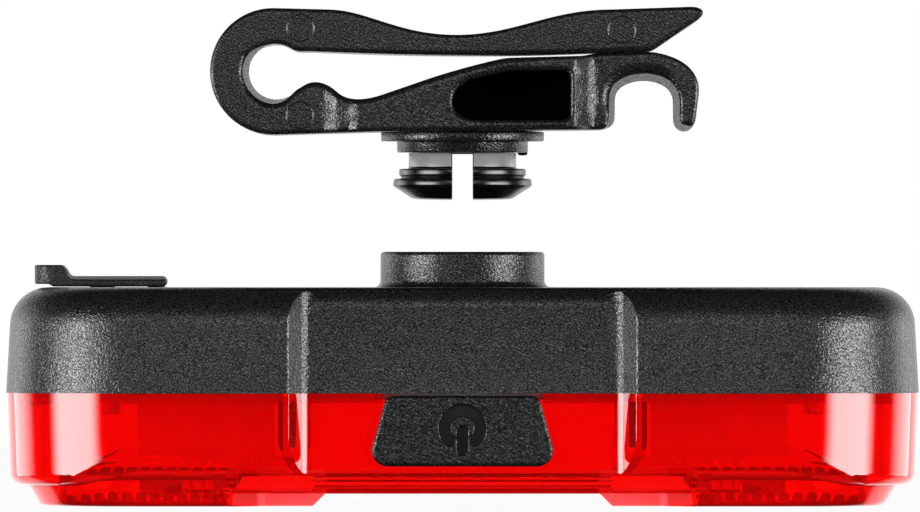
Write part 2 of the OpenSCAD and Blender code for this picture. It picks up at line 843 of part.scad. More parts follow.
module flap_anchor() {
    middle = -flap_hinge_x + anchor_len / 2;
    color(rubber) {
        block(middle, 0, rear_z, rear_z + flap_t, anchor_len, flap_w - 1);
        translate([middle, 0, roof_z]) cylinder(r = anchor_r, h = wall + flap_t / 2);
        translate([middle, 0, roof_z - anchor_barb])
            cylinder(r1 = anchor_r - anchor_barb / 3, r2 = anchor_r + anchor_barb, h = anchor_barb);
    }
}

// The flap's side view, from its hinge to the pull tab.
module flap_section() {
    hinge = -flap_hinge_x - 0.1;
    tip = -flap_hinge_x - flap_len - tab_over;
    top = rear_z + flap_t;
    crest = rear_z + tab_h;
    foot = rear_z + chamfer;
    polygon([[hinge, flap_z], [hinge, top], [tip + tab_len + tab_h - flap_t, top], [tip + tab_len, crest],
        [tip + chamfer, crest], [tip, crest - chamfer], [tip, foot],
        [tip + tab_over - chamfer, foot], [tip + tab_over, flap_z]]);
}

module usb_flap() {
    length = 2 * flap_len + 2 * tab_over;
    flap_r = 1.8;
    color(rubber) {
        intersection() {
            across(-flap_w / 2, flap_w / 2) flap_section();
            translate([-flap_hinge_x, 0, 0])
                linear_extrude(2 * rear_z) rounded_rect(length, flap_w, flap_r);
        }
        block(-socket_x, 0, rear_z - plug_depth, flap_z + flap_t / 2,
            socket_d - 2 * chamfer, socket_w - 2 * chamfer);
    }
}

module power_symbol() {
    outer = symbol_r + symbol_stroke / 2;
    inner = symbol_r - symbol_stroke / 2;
    difference() {
        circle(r = outer);
        circle(r = inner);
        polygon([[0, 0], [-outer, -outer * 1.2], [outer, -outer * 1.2]]);
    }
    bar = outer + symbol_stroke / 2;
    translate([-symbol_stroke / 2, -bar]) square([symbol_stroke, bar]);
}

// The flange behind the button stays clear of the lens's front.
module button_cap() {
    symbol_z = switch_z + symbol_stroke / 3;
    color(rubber) difference() {
        union() {
            across(button_face_y, button_end_y) button_outline(0);
            intersection() {
                across(button_end_y - button_flange, button_end_y) button_outline(button_rim);
                over_front(2 * clearance);
            }
        }
        across(button_face_y - overcut, button_face_y + symbol_depth)
            translate([0, symbol_z]) power_symbol();
    }
}

module switch_body() {
    color("#3a3b3e") difference() {
        block(0, switch_y + switch_d / 2, switch_z - plunger_r - 0.5, board_z, switch_w, switch_d);
        translate([0, switch_y - 0.01, switch_z]) rotate([-90, 0, 0])
            cylinder(r = plunger_r + clearance, h = plunger_seat + button_travel);
    }
}

module switch_plunger() {
    color(white) translate([0, button_end_y, switch_z]) rotate([-90, 0, 0])
        cylinder(r = plunger_r, h = switch_y - button_end_y + plunger_seat - clearance);
}

// Half section of the split stud, measured down from the clip's seat on the boss.
module stud_section() {
    polygon([[0, -pilot_t], [leg_r, -pilot_t], [leg_r, -head_depth], [ring_r, -head_depth],
        [ring_r, -lip_depth], [lip_r, -lip_depth], [lip_r, -lip_depth - lip_t],
        [tip_r, -stud_depth + chamfer], [tip_r - chamfer, -stud_depth], [0, -stud_depth]]);
}

module snap_stud() {
    color("#4a4c50") translate([0, 0, clip_z]) {
        difference() {
            rotate_extrude() stud_section();
            block(0, 0, -stud_depth - overcut, -pilot_t, slot_w, 4 * lip_r);
        }
        translate([0, 0, -pilot_t - clearance]) cylinder(r = pivot_r, h = pilot_t + pivot_h);
    }
}

// Side views of the clip, with the stud's axis at x = 0 and the boss's top at y = 0.
loop_middle = [-loop_x, loop_z];
arm_root = [-13.4, arm_crest];
arm_valley = [-0.6, arm_dip];
arm_crown = [14.8, arm_crest];
jaw_tip = [18.9, 8.97];
jaw_seat = [13.3, 8.83];
pad_end = [11.9, pad_z];
pad_start = [4.4, pad_z - 0.2];
base_end_x = 11.4;
ramp_top = [-3.2, 6.28];
ramp_foot = [-7.8, ramp_z];
throat = [-12.3, ramp_z];
loop_heel = [-16.1, 5.3];
hook_middle = [hook_x + hook_gap / 2, hook_z];
hook_tip = [hook_x + hook_gap + hook_tip_r, 2.05];
hook_back = [23.6, 5];
half_gap = [0, jaw_gap / 2];

function arm_side() = concat(
    arc(loop_middle, loop_r, 180, 92),
    wave(arm_root, arm_valley, 0.3, 0.46),
    wave(arm_valley, arm_crown, 0.38, 0.4),
    [[arm_reach - 0.85, arm_crest + 0.26], [arm_reach, arm_crest - 0.13],
        [arm_reach - 0.3, arm_crest - 0.77], jaw_tip + half_gap],
    curve(jaw_seat + half_gap, [4, arm_low], [-4, arm_low], [-15, loop_z + loop_hole_r * sin(44)]),
    arc(loop_middle, loop_hole_r, 44, 180));

function base_side() = concat(
    arc(loop_middle, loop_r, 180, 270),
    [[-flange_r - clearance, flange_t]],
    quarter([hook_x - 1.4, 1.16], [hook_x, 1.16], [hook_x, 2.2]),
    quarter([hook_x, 4.4], [hook_x, hook_z], hook_middle),
    quarter(hook_middle, [hook_x + hook_gap, hook_z], [hook_x + hook_gap, 4.2]),
    arc(hook_tip, hook_tip_r, 180, 360, 10),
    curve(hook_back, hook_back + [0, 2.2], jaw_tip + [2.9, -0.5], jaw_tip - half_gap),
    [jaw_seat - half_gap, pad_end],
    curve(pad_start, pad_start - [1.4, 0.25], ramp_top + [2.4, 0.8], ramp_top),
    curve(ramp_foot, ramp_foot - [1.8, 0.65], throat - [-1.1, 0.75], throat),
    curve(throat, throat + [-1.2, 1.4], loop_heel + [0.8, 1], loop_heel),
    arc(loop_middle, loop_hole_r, -37, -180));

// Outline of the clip's base in plan: narrow at the loop and the hook, with a step beside the loop.
module base_plan() {
    loop_half = arm_w / 2;
    base_half = base_w / 2;
    step_half = (loop_half + base_half) / 2;
    hook_half = hook_w / 2;
    far = 2 * arm_reach;
    both_y() polygon([[-far, 0], [-far, loop_half], [throat.x - 1.6, loop_half], [throat.x, step_half],
        [throat.x + 0.7, step_half], [throat.x + 1.7, base_half], [base_end_x, base_half],
        [hook_x - 1.4, hook_half + chamfer], [arm_reach, hook_half], [arm_reach, 0]]);
}

// Side view of the cored pockets.
module pocket() {
    low = 2.12;
    high = 7.06;
    end = 10.73;
    corner = 1.4 * chamfer;
    polygon(concat(curve([1.2, low], [-1.7, low], [-1.7, 5.2], [0.7, 6.1]),
        [[4.7, high], [end - corner, high], [end, high - corner],
            [end, low + corner], [end - corner, low]]));
}

module clip_arm() {
    color(black) translate([0, 0, clip_z]) across(-arm_w / 2, arm_w / 2) polygon(arm_side());
}

// Nub that indexes the clip's turn on the boss.
module index_nub() {
    nub_r = 0.5;
    translate([pilot_r - 1.1 * nub_r, 0, -pilot_t - chamfer]) cylinder(r = nub_r, h = 2 * chamfer);
}

module clip_base() {
    color(black) translate([0, 0, clip_z]) difference() {
        union() {
            intersection() {
                across(-base_w / 2, base_w / 2) polygon(base_side());
                linear_extrude(2 * arm_crest) base_plan();
            }
            cylinder(r = flange_r, h = flange_t + chamfer);
            translate([0, 0, -pilot_t]) cylinder(r = pilot_r, h = pilot_t + flange_t / 2);
            index_nub();
        }
        both_y() across(-base_w / 2 - overcut, -base_w / 2 + pocket_depth) pocket();
        translate([0, 0, -pilot_t - overcut])
            cylinder(r = pivot_r + clearance, h = pilot_t + overcut + pivot_h);
    }
}

rear_housing();
lens();
lens_gasket();
left_reflector();
right_reflector();
left_led_cup();
right_led_cup();
left_optic();
right_optic();
leds();
circuit_board();
board_screws();
control_chip();
power_coil();
battery();
battery_pad();
battery_tabs();
usb_socket();
flap_anchor();
usb_flap();
button_cap();
switch_body();
switch_plunger();
snap_stud();
clip_base();
clip_arm();
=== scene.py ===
"""Looks of the bicycle rear light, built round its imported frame. Outlines and profiles are in millimetres."""
import json
import math

import bmesh
import bpy
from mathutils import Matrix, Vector, geometry


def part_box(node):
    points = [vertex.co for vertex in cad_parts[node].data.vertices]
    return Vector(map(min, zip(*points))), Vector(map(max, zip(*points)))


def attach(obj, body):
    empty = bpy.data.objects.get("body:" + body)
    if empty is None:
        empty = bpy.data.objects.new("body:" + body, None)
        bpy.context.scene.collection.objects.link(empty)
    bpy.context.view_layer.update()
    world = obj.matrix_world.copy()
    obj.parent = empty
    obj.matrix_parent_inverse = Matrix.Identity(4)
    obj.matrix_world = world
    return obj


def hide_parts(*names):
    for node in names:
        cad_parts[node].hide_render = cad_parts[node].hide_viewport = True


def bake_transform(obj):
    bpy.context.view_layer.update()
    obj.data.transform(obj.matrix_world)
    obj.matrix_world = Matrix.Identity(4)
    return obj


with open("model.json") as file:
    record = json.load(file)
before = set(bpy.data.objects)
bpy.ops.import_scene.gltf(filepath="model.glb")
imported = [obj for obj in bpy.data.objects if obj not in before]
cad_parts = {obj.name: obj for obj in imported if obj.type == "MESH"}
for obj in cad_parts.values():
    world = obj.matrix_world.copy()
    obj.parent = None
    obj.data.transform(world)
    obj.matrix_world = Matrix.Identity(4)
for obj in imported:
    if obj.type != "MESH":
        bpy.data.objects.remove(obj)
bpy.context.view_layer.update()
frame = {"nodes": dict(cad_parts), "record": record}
nodes = frame["nodes"]
scene = bpy.context.scene
scene.view_settings.view_transform = "Standard"
scene.cycles.max_bounces = 32
scene.cycles.glossy_bounces = 16
scene.cycles.transmission_bounces = 32
MM = 0.001


# Camera

CAMERA_DISTANCE = 2.0
SENSOR_WIDTH = 36
CLIP_NEAR, CLIP_FAR = 0.1, 20
FIELD_WIDTH = 92.0 * MM
VIEW_MIDDLE = Vector((-0.25, 0, 24.87)) * MM


def add_camera():
    data = bpy.data.cameras.new("camera")
    data.sensor_width = SENSOR_WIDTH
    data.lens = SENSOR_WIDTH * CAMERA_DISTANCE / FIELD_WIDTH
    data.clip_start, data.clip_end = CLIP_NEAR, CLIP_FAR
    camera = bpy.data.objects.new("camera", data)
    camera.location = VIEW_MIDDLE - Vector((0, CAMERA_DISTANCE, 0))
    camera.rotation_euler = (math.pi / 2, 0, 0)
    scene.collection.objects.link(camera)
    scene.camera = camera


# Finishes: short forms for what they are made of

REST_PLACE = "rest_place"


class Tree:
    """Short forms for building a node tree."""

    def __init__(self, tree, sticks=False):
        self.tree, self.sticks = tree, sticks
        tree.nodes.clear()

    def add(self, kind, inputs=None, **settings):
        node = self.tree.nodes.new(kind)
        for name, value in settings.items():
            setattr(node, name, value)
        for name, value in (inputs or {}).items():
            if isinstance(value, bpy.types.NodeSocket):
                self.tree.links.new(value, node.inputs[name])
            else:
                node.inputs[name].default_value = value
        return node

    def math(self, operation, a, b=0.0, clamp=False):
        return self.add("ShaderNodeMath", {0: a, 1: b}, operation=operation, use_clamp=clamp).outputs[0]

    def span(self, value, low, high, to_low=0.0, to_high=1.0):
        inputs = {"Value": value, "From Min": low, "From Max": high, "To Min": to_low, "To Max": to_high}
        return self.add("ShaderNodeMapRange", inputs, interpolation_type="SMOOTHSTEP").outputs[0]

    def band(self, value, rise, fall):
        """1 between a rise and a fall, and 0 outside them."""
        return self.math("MULTIPLY", self.span(value, *rise), self.span(value, *fall, 1.0, 0.0))

    def place(self):
        """Position on the object; one that sticks stays with the surface when the piece bends."""
        if self.sticks:
            return self.add("ShaderNodeAttribute", attribute_name=REST_PLACE).outputs["Vector"]
        return self.add("ShaderNodeTexCoord").outputs["Object"]

    def noise(self, scale, detail=2.0, roughness=0.5, distortion=0.0, slant=0.0, stretch=(1, 1, 1)):
        """Noise, drawn out along axes that are turned about Y by a slant."""
        inputs = {"Vector": self.place(), "Rotation": (0, math.radians(slant), 0), "Scale": stretch}
        place = self.add("ShaderNodeMapping", inputs, vector_type="TEXTURE").outputs[0]
        inputs = {"Vector": place, "Scale": scale, "Detail": detail, "Roughness": roughness,
                  "Distortion": distortion}
        return self.add("ShaderNodeTexNoise", inputs).outputs[0]

    def axis(self, name):
        """Distance along an axis in millimetres."""
        place = self.vector("SCALE", self.place())
        place.inputs["Scale"].default_value = 1 / MM
        return self.add("ShaderNodeSeparateXYZ", {0: place.outputs[0]}).outputs[name]

    def vector(self, operation, a, b=(0, 0, 0)):
        return self.add("ShaderNodeVectorMath", {0: a, 1: b}, operation=operation)

    def ring(self, middle, radius, width):
        """Fades from 1 on a circle round an axis along Y to 0 beside it."""
        away = self.vector("SUBTRACT", self.place(), middle).outputs[0]
        flat = self.vector("MULTIPLY", away, (1, 0, 1)).outputs[0]
        off = self.math("SUBTRACT", self.vector("LENGTH", flat).outputs["Value"], radius)
        return self.span(self.math("ABSOLUTE", off), 0.0, width, 1.0, 0.0)

    def bump(self, height, distance, strength=1.0):
        inputs = {"Height": height, "Distance": distance, "Strength": strength}
        return self.add("ShaderNodeBump", inputs).outputs[0]

    def mix(self, factor, a, b):
        node = self.add("ShaderNodeMix", {"Factor": factor}, data_type="RGBA")
        for name, value in (("A", a), ("B", b)):
            socket = next(s for s in node.inputs if s.name == name and s.type == "RGBA")
            if isinstance(value, bpy.types.NodeSocket):
                self.tree.links.new(value, socket)
            else:
                socket.default_value = value
        return next(s for s in node.outputs if s.type == "RGBA")


def colour(*rgb):
    return (*rgb, 1.0)


def material(name, sticks=False, **inputs):
    """A material with one Principled shader, and its tree."""
    made = bpy.data.materials.new(name)
    made.use_nodes = True
    tree = Tree(made.node_tree, sticks)
    names = {key: key.replace("_", " ").title() for key in inputs}
    special = {"Ior": "IOR", "Coat Ior": "Coat IOR", "Specular Ior Level": "Specular IOR Level"}
    shader = tree.add("ShaderNodeBsdfPrincipled")
    for key, value in inputs.items():
        shader.inputs[special.get(names[key], names[key])].default_value = value
    out = tree.add("ShaderNodeOutputMaterial")
    tree.tree.links.new(shader.outputs[0], out.inputs["Surface"])
    return made, tree, shader


# Light and stage

BACKDROP = 1.0
AMBIENT = 0.55
OVERHEAD = 0.07
DARK = 0.014
LEVEL_RISE, LEVEL_FALL = (-0.7, -0.5), (0.3, 0.5)
BEHIND_RISE = (0.42, 0.56)
OVERHEAD_RISE = (0.1, 0.6)
FLOOR_SIZE = 1.2
FLOOR_DROP = 0.02 * MM
FLOOR_GREY = 0.85
FLOOR_GLOW = 0.95
LIGHT_TARGET = Vector((0, 0, 15 * MM))


class Softbox:
    """A soft lamp that faces the object, placed by its bearing from the camera's side and its height.

    Its light fades over a share of its width at either end.
    """

    def __init__(self, bearing, rise, distance, width, height, watts, fade=(0.01, 0.01)):
        self.bearing, self.rise = math.radians(bearing), math.radians(rise)
        self.distance, self.width, self.height, self.watts = distance, width, height, watts
        self.fade = fade

    def add(self, name):
        data = bpy.data.lights.new(name, "AREA")
        data.shape = "RECTANGLE"
        data.size, data.size_y, data.energy = self.width, self.height, self.watts
        data.use_nodes = True
        tree = Tree(data.node_tree)
        spot = tree.add("ShaderNodeNewGeometry").outputs["Parametric"]
        along = tree.add("ShaderNodeSeparateXYZ", {0: spot}).outputs["X"]
        left, right = self.fade
        glow = tree.band(along, (0, left), (1 - right, 1))
        glow = tree.add("ShaderNodeEmission", {"Strength": glow})
        tree.tree.links.new(glow.outputs[0], tree.add("ShaderNodeOutputLight").inputs[0])
        lamp = bpy.data.objects.new(name, data)
        flat = math.cos(self.rise)
        away = Vector((flat * math.sin(self.bearing), -flat * math.cos(self.bearing), math.sin(self.rise)))
        lamp.location = LIGHT_TARGET + away * self.distance
        lamp.rotation_euler = away.to_track_quat("Z", "Y").to_euler()
        scene.collection.objects.link(lamp)


SOFTBOXES = {
    "softbox_left": Softbox(-63, 0, 0.5, 0.45, 0.22, 3.8, (0.3, 0.25)),
    "softbox_right": Softbox(63, 0, 0.5, 0.45, 0.22, 3.8, (0.25, 0.3)),
    "rim_left": Softbox(-121, 0, 0.5, 0.32, 0.22, 0.42, (0.01, 0.3)),
    "rim_right": Softbox(121, 0, 0.5, 0.32, 0.22, 0.42, (0.3, 0.01)),
    "front_strip": Softbox(0, 15, 0.9, 0.9, 0.24, 1.7),
}


def add_world():
    """White behind the object and dark elsewhere in reflections, with soft light from all round."""
    world = bpy.data.worlds.new("studio")
    world.use_nodes = True
    scene.world = world
    tree = Tree(world.node_tree)
    path = tree.add("ShaderNodeLightPath").outputs
    way = tree.add("ShaderNodeSeparateXYZ", {0: tree.add("ShaderNodeTexCoord").outputs["Generated"]}).outputs
    level = tree.band(way["Z"], LEVEL_RISE, LEVEL_FALL)
    behind = tree.math("MULTIPLY", tree.span(way["Y"], *BEHIND_RISE), level)
    gloss = tree.math("MAXIMUM", tree.math("MULTIPLY", behind, BACKDROP), DARK)
    straight = tree.math("MAXIMUM", path["Is Camera Ray"], path["Is Transmission Ray"])
    shine = tree.math("MULTIPLY", path["Is Glossy Ray"], tree.math("SUBTRACT", 1.0, straight))
    lit = tree.math("ADD", tree.math("MULTIPLY", straight, BACKDROP), tree.math("MULTIPLY", shine, gloss))
    rest = tree.math("SUBTRACT", 1.0, tree.math("ADD", straight, shine))
    ambient = tree.span(way["Z"], *OVERHEAD_RISE, AMBIENT, OVERHEAD)
    strength = tree.math("ADD", lit, tree.math("MULTIPLY", rest, ambient))
    background = tree.add("ShaderNodeBackground", {"Color": colour(1, 1, 1), "Strength": strength})
    out = tree.add("ShaderNodeOutputWorld")
    tree.tree.links.new(background.outputs[0], out.inputs[0])


def add_floor():
    mesh = bpy.data.meshes.new("floor")
    half = FLOOR_SIZE / 2
    corners = [(-half, -half, 0), (half, -half, 0), (half, half, 0), (-half, half, 0)]
    mesh.from_pydata(corners, [], [(0, 1, 2, 3)])
    floor = bpy.data.objects.new("floor", mesh)
    scene.collection.objects.link(floor)
    floor.location.z = -FLOOR_DROP
    made = bpy.data.materials.new("floor_white")
    made.use_nodes = True
    tree = Tree(made.node_tree)
    path = tree.add("ShaderNodeLightPath").outputs
    seen = tree.math("MAXIMUM", path["Is Camera Ray"], path["Is Transmission Ray"])
    paint = tree.add("ShaderNodeBsdfDiffuse", {"Color": colour(FLOOR_GREY, FLOOR_GREY, FLOOR_GREY)})
    glow = tree.add("ShaderNodeEmission", {"Color": colour(1, 1, 1), "Strength": BACKDROP})
    share = tree.math("MULTIPLY", seen, FLOOR_GLOW)
    blend = tree.add("ShaderNodeMixShader", {0: share, 1: paint.outputs[0], 2: glow.outputs[0]})
    out = tree.add("ShaderNodeOutputMaterial")
    tree.tree.links.new(blend.outputs[0], out.inputs["Surface"])
    mesh.materials.append(made)
    floor.visible_glossy = False
    floor.visible_shadow = False


# Materials

GRAIN_SLANT, GRAIN_STRETCH, GRAIN_DISTORTION = 38, (1.5, 1.1, 0.8), 0.4
GRAIN_DEPTH = 0.06 * MM
SPECK_SCALE, SPECK_RISE = 1.3, (0.36, 0.64)
WEAR_SCALE, WEAR_RISE = 0.012, (0.3, 0.7)
WEAR_ROUGH, SPECK_ROUGH = 0.03, 0.07
PIT_SHADE, TOP_SHADE = 0.1, 2.4
MARK_WIDTH, MARK_HEIGHT = 0.1 * MM, 0.8
RIPPLE_SCALE, RIPPLE_DEPTH = 260, 0.004 * MM
PLAIN_SCALE, PLAIN_DEPTH, PLAIN_ROUGH = 900, 0.01 * MM, 0.06


def grained_plastic(name, base, rough, scale, depth, marks=(), gloss=(0.28, 0.72), sticks=False):
    """Black plastic with a moulded grain of short slanting wrinkles.

    Marks are rings left by ejector pins.
    """
    made, tree, shader = material(name, sticks, ior=1.5)
    links = tree.tree.links
    height = tree.noise(scale, 1.0, 0.5, GRAIN_DISTORTION, GRAIN_SLANT, GRAIN_STRETCH)
    speck = tree.noise(scale * SPECK_SCALE, 1.0)
    wear = tree.noise(scale * WEAR_SCALE, 3.0)
    for middle, radius in marks:
        ring = tree.ring([c * MM for c in middle], radius * MM, MARK_WIDTH)
        height = tree.math("ADD", height, tree.math("MULTIPLY", ring, MARK_HEIGHT))
    links.new(tree.bump(height, depth), shader.inputs["Normal"])
    worn = tree.span(wear, *WEAR_RISE, rough - WEAR_ROUGH, rough + WEAR_ROUGH)
    specked = tree.span(speck, *WEAR_RISE, SPECK_ROUGH, -SPECK_ROUGH)
    links.new(tree.math("ADD", worn, specked), shader.inputs["Roughness"])
    pit, top = (colour(*[c * share for c in base]) for share in (PIT_SHADE, TOP_SHADE))
    links.new(tree.mix(tree.span(speck, *SPECK_RISE), pit, top), shader.inputs["Base Color"])
    links.new(tree.span(speck, *SPECK_RISE, *gloss), shader.inputs["Specular IOR Level"])
    return made


def ripple(tree, shader):
    """The slight waviness of a polished moulding."""
    bump = tree.bump(tree.noise(RIPPLE_SCALE, 2.0), RIPPLE_DEPTH, 0.5)
    tree.tree.links.new(bump, shader.inputs["Normal"])


def clear_red(name, tint, rough, ior=1.2, clear=0.8):
    """Polished transparent plastic with a little haze; its coat makes the reflections."""
    made, tree, shader = material(name, base_color=colour(*tint), roughness=rough, ior=ior,
                                  transmission_weight=clear, coat_weight=1.0, coat_ior=1.5,
                                  coat_roughness=0.0)
    ripple(tree, shader)
    return made


LENS_END_X = (43.9, 44.8)
PLATEAU_END_X, PLATEAU_END_Z = (39.6, 40.4), (2.6, 3.2)
NECK_X, NECK_Z = ((13.4, 13.8), (20.0, 20.6)), (1.2, 1.4)
SLOPE_X, SLOPE_Z = ((18.9, 19.4), (22.8, 23.4)), (1.2, 1.6)
CLEAR, HAZY = 0.88, 0.4
# The necks' glow is painted light.
NECK_ROUGH, NECK_PAINTED_GLOW = 0.35, 0.28


def lens_plastic(name, tint, neck_frost_and_painted_sheen):
    """Clear red plastic, hazier at its ends, frosted on its necks and dull on the slopes beside them. Its necks
    also glow faintly red, which is painted light, and are tinted pale pink, partly for the frosting and partly
    as a painted reflection.
    """
    made, tree, shader = material(name, ior=1.28, coat_ior=1.44, emission_color=colour(1.0, 0.02, 0.03))
    links = tree.tree.links
    across, up = tree.math("ABSOLUTE", tree.axis("X")), tree.axis("Z")

    def below(mask, height):
        return tree.math("MULTIPLY", mask, tree.span(up, *height, 1.0, 0.0))

    plateau_end = below(tree.span(across, *PLATEAU_END_X), PLATEAU_END_Z)
    ends = tree.math("MAXIMUM", tree.span(across, *LENS_END_X), plateau_end)
    neck = below(tree.band(across, *NECK_X), NECK_Z)
    slope = below(tree.band(across, *SLOPE_X), SLOPE_Z)
    hazy = tree.math("MAXIMUM", tree.math("MAXIMUM", ends, slope), neck)
    ripple(tree, shader)
    links.new(tree.span(hazy, 0, 1, CLEAR, HAZY), shader.inputs["Transmission Weight"])
    links.new(tree.span(neck, 0, 1, 0.0, NECK_ROUGH), shader.inputs["Roughness"])
    links.new(tree.span(slope, 0, 1, 1.0, 0.0), shader.inputs["Coat Weight"])
    links.new(tree.span(slope, 0, 1, 0.5, 0.0), shader.inputs["Specular IOR Level"])
    # The necks glow red, which is painted light, and are tinted pale pink, partly for the frosting and partly
    # as a painted reflection.
    links.new(tree.span(neck, 0, 1, 0.0, NECK_PAINTED_GLOW), shader.inputs["Emission Strength"])
    links.new(tree.mix(neck, colour(*tint), colour(*neck_frost_and_painted_sheen)), shader.inputs["Base Color"])
    return made


def plain(name, base, rough, metallic=0.0, **inputs):
    """Fine-textured finish for small inner pieces."""
    made, tree, shader = material(name, base_color=colour(*base), metallic=metallic, **inputs)
    texture = tree.noise(PLAIN_SCALE, 3.0)
    links = tree.tree.links
    links.new(tree.bump(texture, PLAIN_DEPTH, 0.6), shader.inputs["Normal"])
    uneven = tree.span(texture, *WEAR_RISE, rough - PLAIN_ROUGH, rough + PLAIN_ROUGH)
    links.new(uneven, shader.inputs["Roughness"])
    return made


EJECTOR_MARKS = [((-16.14, 0, 47.6), 1.34), ((-16.18, 0, 38.9), 1.34), ((15.87, 0, 47.42), 1.34)]
CLIP_BLACK, CLIP_GRAIN = (0.005, 0.005, 0.0052), 4800
FINISHES = {
    "housing_plastic": lambda: grained_plastic(
        "housing_plastic", (0.007, 0.007, 0.0072), 0.24, 5400, GRAIN_DEPTH),
    "clip_plastic": lambda: grained_plastic(
        "clip_plastic", CLIP_BLACK, 0.26, CLIP_GRAIN, GRAIN_DEPTH, EJECTOR_MARKS, sticks=True),
    "stud_plastic": lambda: plain("stud_plastic", (0.002, 0.002, 0.0021), 0.22),
    # The second colour, the pale pink of the necks, is partly a painted reflection.
    "lens_red": lambda: lens_plastic("lens_red", (1.0, 0.004, 0.003), (1.0, 0.22, 0.24)),
    "prism_red": lambda: clear_red("prism_red", (0.8, 0.003, 0.002), 0.02, 1.49, 0.92),
    "seal_rubber": lambda: clear_red("seal_rubber", (0.7, 0.01, 0.01), 0.3),
    "cup_grey": lambda: plain("cup_grey", (0.75, 0.75, 0.76), 0.3),
    "optic_clear": lambda: clear_red("optic_clear", (0.9, 0.75, 0.75), 0.03, 1.49, 0.95),
    "led_phosphor": lambda: plain("led_phosphor", (0.9, 0.8, 0.35), 0.4),
    "board": lambda: plain("board", (0.8, 0.8, 0.78), 0.4),
    "steel": lambda: plain("steel", (0.75, 0.75, 0.76), 0.25, 1.0),
    "chip_black": lambda: plain("chip_black", (0.02, 0.02, 0.02), 0.5),
    "battery_foil": lambda: plain("battery_foil", (0.7, 0.71, 0.73), 0.35, 1.0),
    "foam": lambda: plain("foam", (0.06, 0.06, 0.065), 0.9),
    "flap_rubber": lambda: grained_plastic(
        "flap_rubber", (0.003, 0.003, 0.003), 0.48, 4600, GRAIN_DEPTH, sticks=True),
    "button_rubber": lambda: grained_plastic(
        "button_rubber", (0.003, 0.003, 0.0031), 0.28, 4200, 0.1 * MM),
    "switch_white": lambda: plain("switch_white", (0.8, 0.8, 0.77), 0.5),
}


def dress_nodes():
    """Gives every node of the frame the finish that its slot names."""
    made = {slot: build() for slot, build in FINISHES.items()}
    for part in frame["record"]["subparts"]:
        node = nodes[part["node"]]
        node.data.materials.clear()
        node.data.materials.append(made[part["material_slot"]])
    return made


# Outlines in millimetres, seen from the front as (x, z)

OUTLINE_STEP = 0.25
ROUNDING = 0.55
NEAR = 1e-6
SLIVER = 1e-4
GRID_CLEARANCE = 0.4


def arc(middle, radius, start, stop, count=60):
    turns = [math.radians(start + (stop - start) * i / count) for i in range(count + 1)]
    return [Vector(middle) + radius * Vector((math.cos(a), math.sin(a))) for a in turns]


def curve(a, b, c, d, count=40):
    a, b, c, d = map(Vector, (a, b, c, d))
    steps = [i / count for i in range(count + 1)]
    return [(1 - t) ** 3 * a + 3 * (1 - t) ** 2 * t * b + 3 * (1 - t) * t * t * c + t ** 3 * d
            for t in steps]


def quarter(a, corner, b):
    a, corner, b = map(Vector, (a, corner, b))
    return curve(a, a.lerp(corner, ROUNDING), b.lerp(corner, ROUNDING), b, 16)


def wave(a, b, start, end):
    """Curve that leaves a and reaches b level."""
    length = b[0] - a[0]
    return curve(a, (a[0] + start * length, a[1]), (b[0] - end * length, b[1]), b)


def points_of(*pairs):
    return [Vector(p) for p in pairs]


def resampled(points, step):
    """Evenly spaced points along a closed outline."""
    points = [p for i, p in enumerate(points) if (p - points[i - 1]).length > NEAR]
    lengths = [(points[(i + 1) % len(points)] - p).length for i, p in enumerate(points)]
    count = round(sum(lengths) / step)
    spacing = sum(lengths) / count
    made, i, before = [], 0, 0.0
    for k in range(count):
        while before + lengths[i] < k * spacing:
            before += lengths[i]
            i += 1
        made.append(points[i].lerp(points[(i + 1) % len(points)], (k * spacing - before) / lengths[i]))
    return made


def softened(points, rounds):
    for _ in range(rounds):
        after = points[1:] + points[:1]
        points = [p * 0.5 + (points[i - 1] + after[i]) * 0.25 for i, p in enumerate(points)]
    return points


def offset(points, distances):
    """A closed clockwise outline moved outwards by a distance at each point."""
    made = []
    for i, (p, distance) in enumerate(zip(points, distances)):
        along = (points[(i + 1) % len(points)] - points[i - 1]).normalized()
        made.append(p + distance * Vector((-along.y, along.x)))
    return made


def inside(p, outline):
    hit = False
    for i, b in enumerate(outline):
        a = outline[i - 1]
        if (a.y > p.y) != (b.y > p.y) and p.x < a.x + (p.y - a.y) * (b.x - a.x) / (b.y - a.y):
            hit = not hit
    return hit


def ramp(value, low, high):
    t = min(max((value - low) / (high - low), 0), 1)
    return t * t * (3 - 2 * t)


def between(value, rise, fall):
    return ramp(value, *rise) * (1 - ramp(value, *fall))


def filled(outer, holes, step):
    """Points and triangles that fill an outline around its holes."""
    loops = [outer, *holes]
    border = [p for loop in loops for p in loop]
    low = Vector((min(p.x for p in outer), min(p.y for p in outer)))
    high = Vector((max(p.x for p in outer), max(p.y for p in outer)))

    def within(p):
        return inside(p, outer) and not any(inside(p, hole) for hole in holes)

    grid = []
    for i in range(1, int((high.x - low.x) / step) + 1):
        for k in range(1, int((high.y - low.y) / step) + 1):
            p = low + Vector((i, k)) * step
            if within(p) and min((p - q).length_squared for q in border) > GRID_CLEARANCE * step ** 2:
                grid.append(p)
    edges, start = [], 0
    for loop in loops:
        edges += [(start + i, start + (i + 1) % len(loop)) for i in range(len(loop))]
        start += len(loop)
    points, _, faces, _, _, _ = geometry.delaunay_2d_cdt(border + grid, edges, [], 0, NEAR)
    kept = []
    for face in faces:
        corners = [points[i] for i in face]
        if geometry.area_tri(*corners) > SLIVER and within(sum(corners, Vector((0, 0))) / 3):
            kept.append(face)
    return points, kept


# Meshes

EDGE_TURNS = (0, 18, 36, 54, 72, 90)
EDGE_MARGIN = 0.1
LEAN_LEAST = 0.1
SHARP = math.radians(50)
MERGE = 0.001


